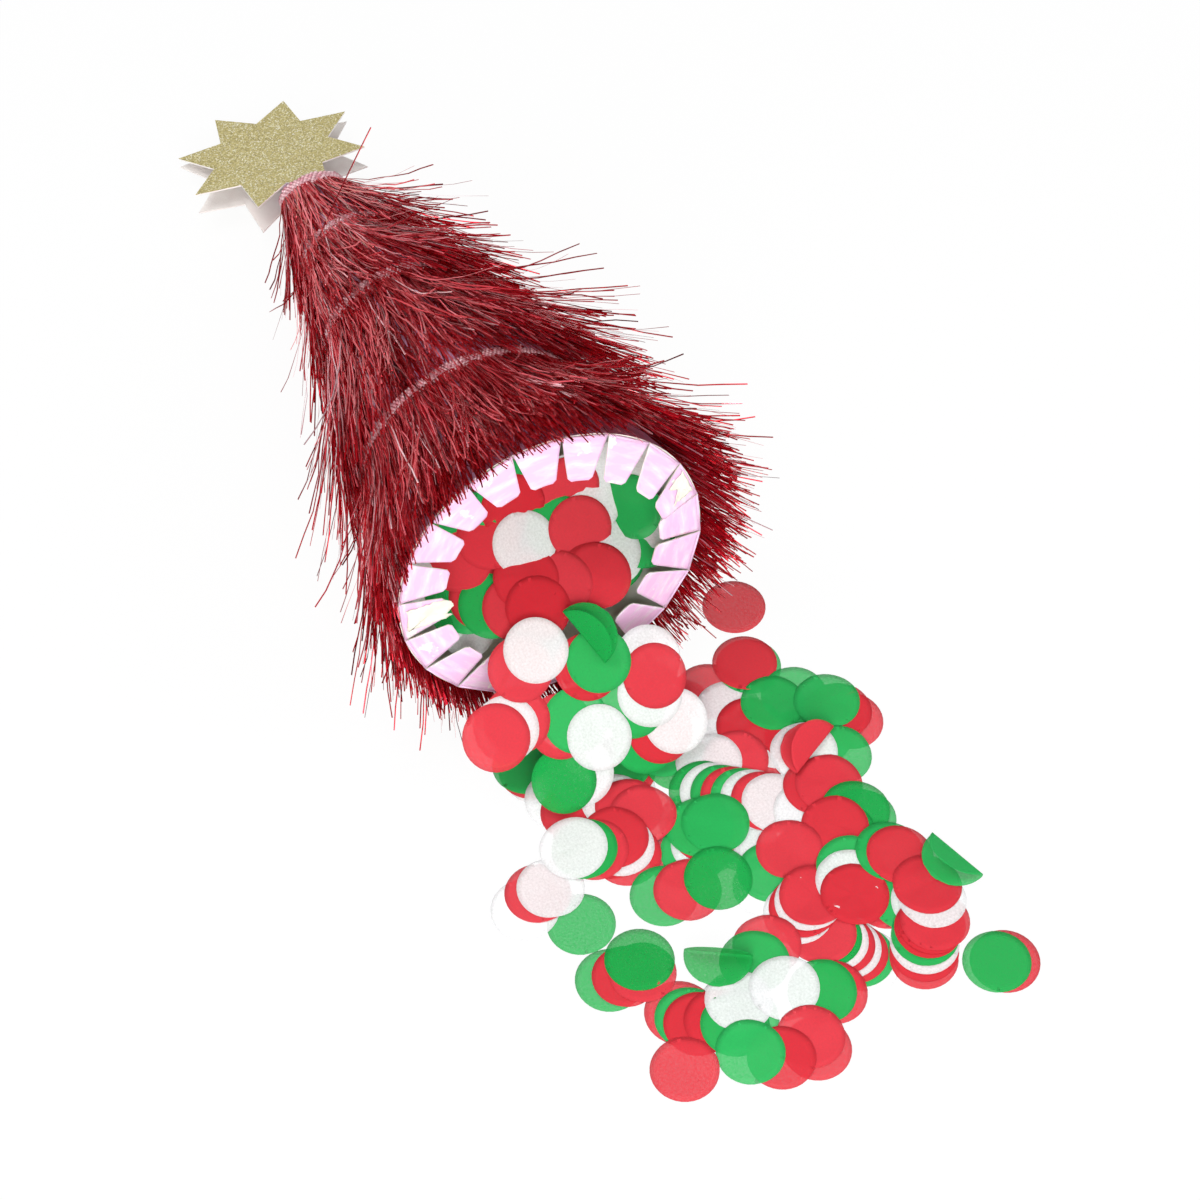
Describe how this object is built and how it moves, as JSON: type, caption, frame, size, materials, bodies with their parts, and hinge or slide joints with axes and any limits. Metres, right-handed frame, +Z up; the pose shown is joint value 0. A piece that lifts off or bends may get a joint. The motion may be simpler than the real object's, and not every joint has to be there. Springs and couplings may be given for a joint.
{
  "type": "christmas cracker",
  "caption": "Tree-shaped christmas cracker, pulled open: card cone with foil fringe and glitter stars on its side, torn base tabs and tissue confetti spilt from its mouth.",
  "frame": {"origin": "middle of the overall box, on the floor the opened cracker lies on", "axes": "+X along the cone from its star to its mouth and on over the spilt confetti, +Z up"},
  "size_m": [0.5109, 0.1889, 0.1489],
  "materials": {
    "pink_card": "gloss laminated",
    "glitter_card": "glitter",
    "torn_paper": "matt torn",
    "foil_fringe": "metallised",
    "red_tissue": "matt",
    "green_tissue": "matt",
    "white_tissue": "matt"
  },
  "bodies": {
    "cone": {"back_star": "glitter_card", "bottom_fringe_1": "foil_fringe", "bottom_fringe_2": "foil_fringe", "bottom_fringe_3": "foil_fringe", "bottom_fringe_4": "foil_fringe", "bottom_fringe_5": "foil_fringe", "bottom_fringe_6": "foil_fringe", "bottom_fringe_7": "foil_fringe", "bottom_fringe_8": "foil_fringe", "cone_card": "pink_card", "front_star": "glitter_card", "heaped_green_confetti": "green_tissue", "heaped_red_confetti": "red_tissue", "heaped_white_confetti": "white_tissue", "middle_fringe_1": "foil_fringe", "middle_fringe_2": "foil_fringe", "middle_fringe_3": "foil_fringe", "middle_fringe_4": "foil_fringe", "middle_fringe_5": "foil_fringe", "middle_fringe_6": "foil_fringe", "top_fringe_1": "foil_fringe", "top_fringe_2": "foil_fringe", "top_fringe_3": "foil_fringe", "top_fringe_4": "foil_fringe", "upper_fringe_1": "foil_fringe", "upper_fringe_2": "foil_fringe", "upper_fringe_3": "foil_fringe", "upper_fringe_4": "foil_fringe", "upper_fringe_5": "foil_fringe"},
    "spill": {"spilt_green_confetti": "green_tissue", "spilt_red_confetti": "red_tissue", "spilt_white_confetti": "white_tissue"},
    "tab_01": {"base_tab_01": "pink_card"},
    "tab_02": {"base_tab_02": "pink_card", "torn_scrap_right": "torn_paper"},
    "tab_03": {"base_tab_03": "pink_card"},
    "tab_04": {"base_tab_04": "pink_card"},
    "tab_05": {"base_tab_05": "pink_card"},
    "tab_06": {"base_tab_06": "pink_card"},
    "tab_07": {"base_tab_07": "pink_card"},
    "tab_08": {"base_tab_08": "pink_card"},
    "tab_09": {"base_tab_09": "pink_card"},
    "tab_10": {"base_tab_10": "pink_card"},
    "tab_11": {"base_tab_11": "pink_card", "torn_scrap_left": "torn_paper"},
    "tab_12": {"base_tab_12": "pink_card"},
    "tab_13": {"base_tab_13": "pink_card"},
    "tab_14": {"base_tab_14": "pink_card"},
    "tab_15": {"base_tab_15": "pink_card"},
    "tab_16": {"base_tab_16": "pink_card"},
    "tab_17": {"base_tab_17": "pink_card"},
    "tab_18": {"base_tab_18": "pink_card"},
    "tab_19": {"base_tab_19": "pink_card"},
    "tab_20": {"base_tab_20": "pink_card"}
  },
  "joints": [
    {"name": "tab_01_crease", "type": "hinge", "parent": "cone", "child": "tab_01", "pos_m": [0.05654, 0.04431, 0.06533], "axis": [0.188, 0, -0.9822], "range_deg": [-96, 8]},
    {"name": "tab_02_crease", "type": "hinge", "parent": "cone", "child": "tab_02", "pos_m": [0.05311, 0.04142, 0.08324], "axis": [0.1788, 0.309, -0.9341], "range_deg": [-80, 24]},
    {"name": "tab_03_crease", "type": "hinge", "parent": "cone", "child": "tab_03", "pos_m": [0.05002, 0.03304, 0.0994], "axis": [0.1521, 0.5878, -0.7946], "range_deg": [-78, 26]},
    {"name": "tab_04_crease", "type": "hinge", "parent": "cone", "child": "tab_04", "pos_m": [0.04757, 0.01999, 0.11222], "axis": [0.1105, 0.809, -0.5773], "range_deg": [-84, 20]},
    {"name": "tab_05_crease", "type": "hinge", "parent": "cone", "child": "tab_05", "pos_m": [0.04599, 0.00353, 0.12046], "axis": [0.0581, 0.9511, -0.3035], "range_deg": [-92, 12]},
    {"name": "tab_06_crease", "type": "hinge", "parent": "cone", "child": "tab_06", "pos_m": [0.04545, -0.0147, 0.12329], "axis": [0, 1, 0], "range_deg": [-96, 8]},
    {"name": "tab_07_crease", "type": "hinge", "parent": "cone", "child": "tab_07", "pos_m": [0.04599, -0.03293, 0.12046], "axis": [-0.0581, 0.9511, 0.3035], "range_deg": [-98, 6]},
    {"name": "tab_08_crease", "type": "hinge", "parent": "cone", "child": "tab_08", "pos_m": [0.04757, -0.04939, 0.11222], "axis": [-0.1105, 0.809, 0.5773], "range_deg": [-100, 4]},
    {"name": "tab_09_crease", "type": "hinge", "parent": "cone", "child": "tab_09", "pos_m": [0.05002, -0.06244, 0.0994], "axis": [-0.1521, 0.5878, 0.7946], "range_deg": [-101, 3]},
    {"name": "tab_10_crease", "type": "hinge", "parent": "cone", "child": "tab_10", "pos_m": [0.05311, -0.07082, 0.08324], "axis": [-0.1788, 0.309, 0.9341], "range_deg": [-99, 5]},
    {"name": "tab_11_crease", "type": "hinge", "parent": "cone", "child": "tab_11", "pos_m": [0.05654, -0.07371, 0.06533], "axis": [-0.188, 0, 0.9822], "range_deg": [-102, 2]},
    {"name": "tab_12_crease", "type": "hinge", "parent": "cone", "child": "tab_12", "pos_m": [0.05997, -0.07082, 0.04742], "axis": [-0.1788, -0.309, 0.9341], "range_deg": [-97, 7]},
    {"name": "tab_13_crease", "type": "hinge", "parent": "cone", "child": "tab_13", "pos_m": [0.06306, -0.06244, 0.03127], "axis": [-0.1521, -0.5878, 0.7946], "range_deg": [-94, 10]},
    {"name": "tab_14_crease", "type": "hinge", "parent": "cone", "child": "tab_14", "pos_m": [0.06552, -0.04939, 0.01844], "axis": [-0.1105, -0.809, 0.5773], "range_deg": [-98, 6]},
    {"name": "tab_15_crease", "type": "hinge", "parent": "cone", "child": "tab_15", "pos_m": [0.06709, -0.03293, 0.01021], "axis": [-0.0581, -0.9511, 0.3035], "range_deg": [-92, 12]},
    {"name": "tab_16_crease", "type": "hinge", "parent": "cone", "child": "tab_16", "pos_m": [0.06763, -0.0147, 0.00737], "axis": [0, -1, 0], "range_deg": [-90, 14]},
    {"name": "tab_17_crease", "type": "hinge", "parent": "cone", "child": "tab_17", "pos_m": [0.06709, 0.00353, 0.01021], "axis": [0.0581, -0.9511, -0.3035], "range_deg": [-92, 12]},
    {"name": "tab_18_crease", "type": "hinge", "parent": "cone", "child": "tab_18", "pos_m": [0.06552, 0.01999, 0.01844], "axis": [0.1105, -0.809, -0.5773], "range_deg": [-98, 6]},
    {"name": "tab_19_crease", "type": "hinge", "parent": "cone", "child": "tab_19", "pos_m": [0.06306, 0.03304, 0.03127], "axis": [0.1521, -0.5878, -0.7946], "range_deg": [-103, 1]},
    {"name": "tab_20_crease", "type": "hinge", "parent": "cone", "child": "tab_20", "pos_m": [0.05997, 0.04142, 0.04742], "axis": [0.1788, -0.309, -0.9341], "range_deg": [-100, 4]},
    {"name": "spill_slide", "type": "slide", "parent": "cone", "child": "spill", "axis": [1, 0, 0], "range_m": [0, 0.12]}
  ]
}
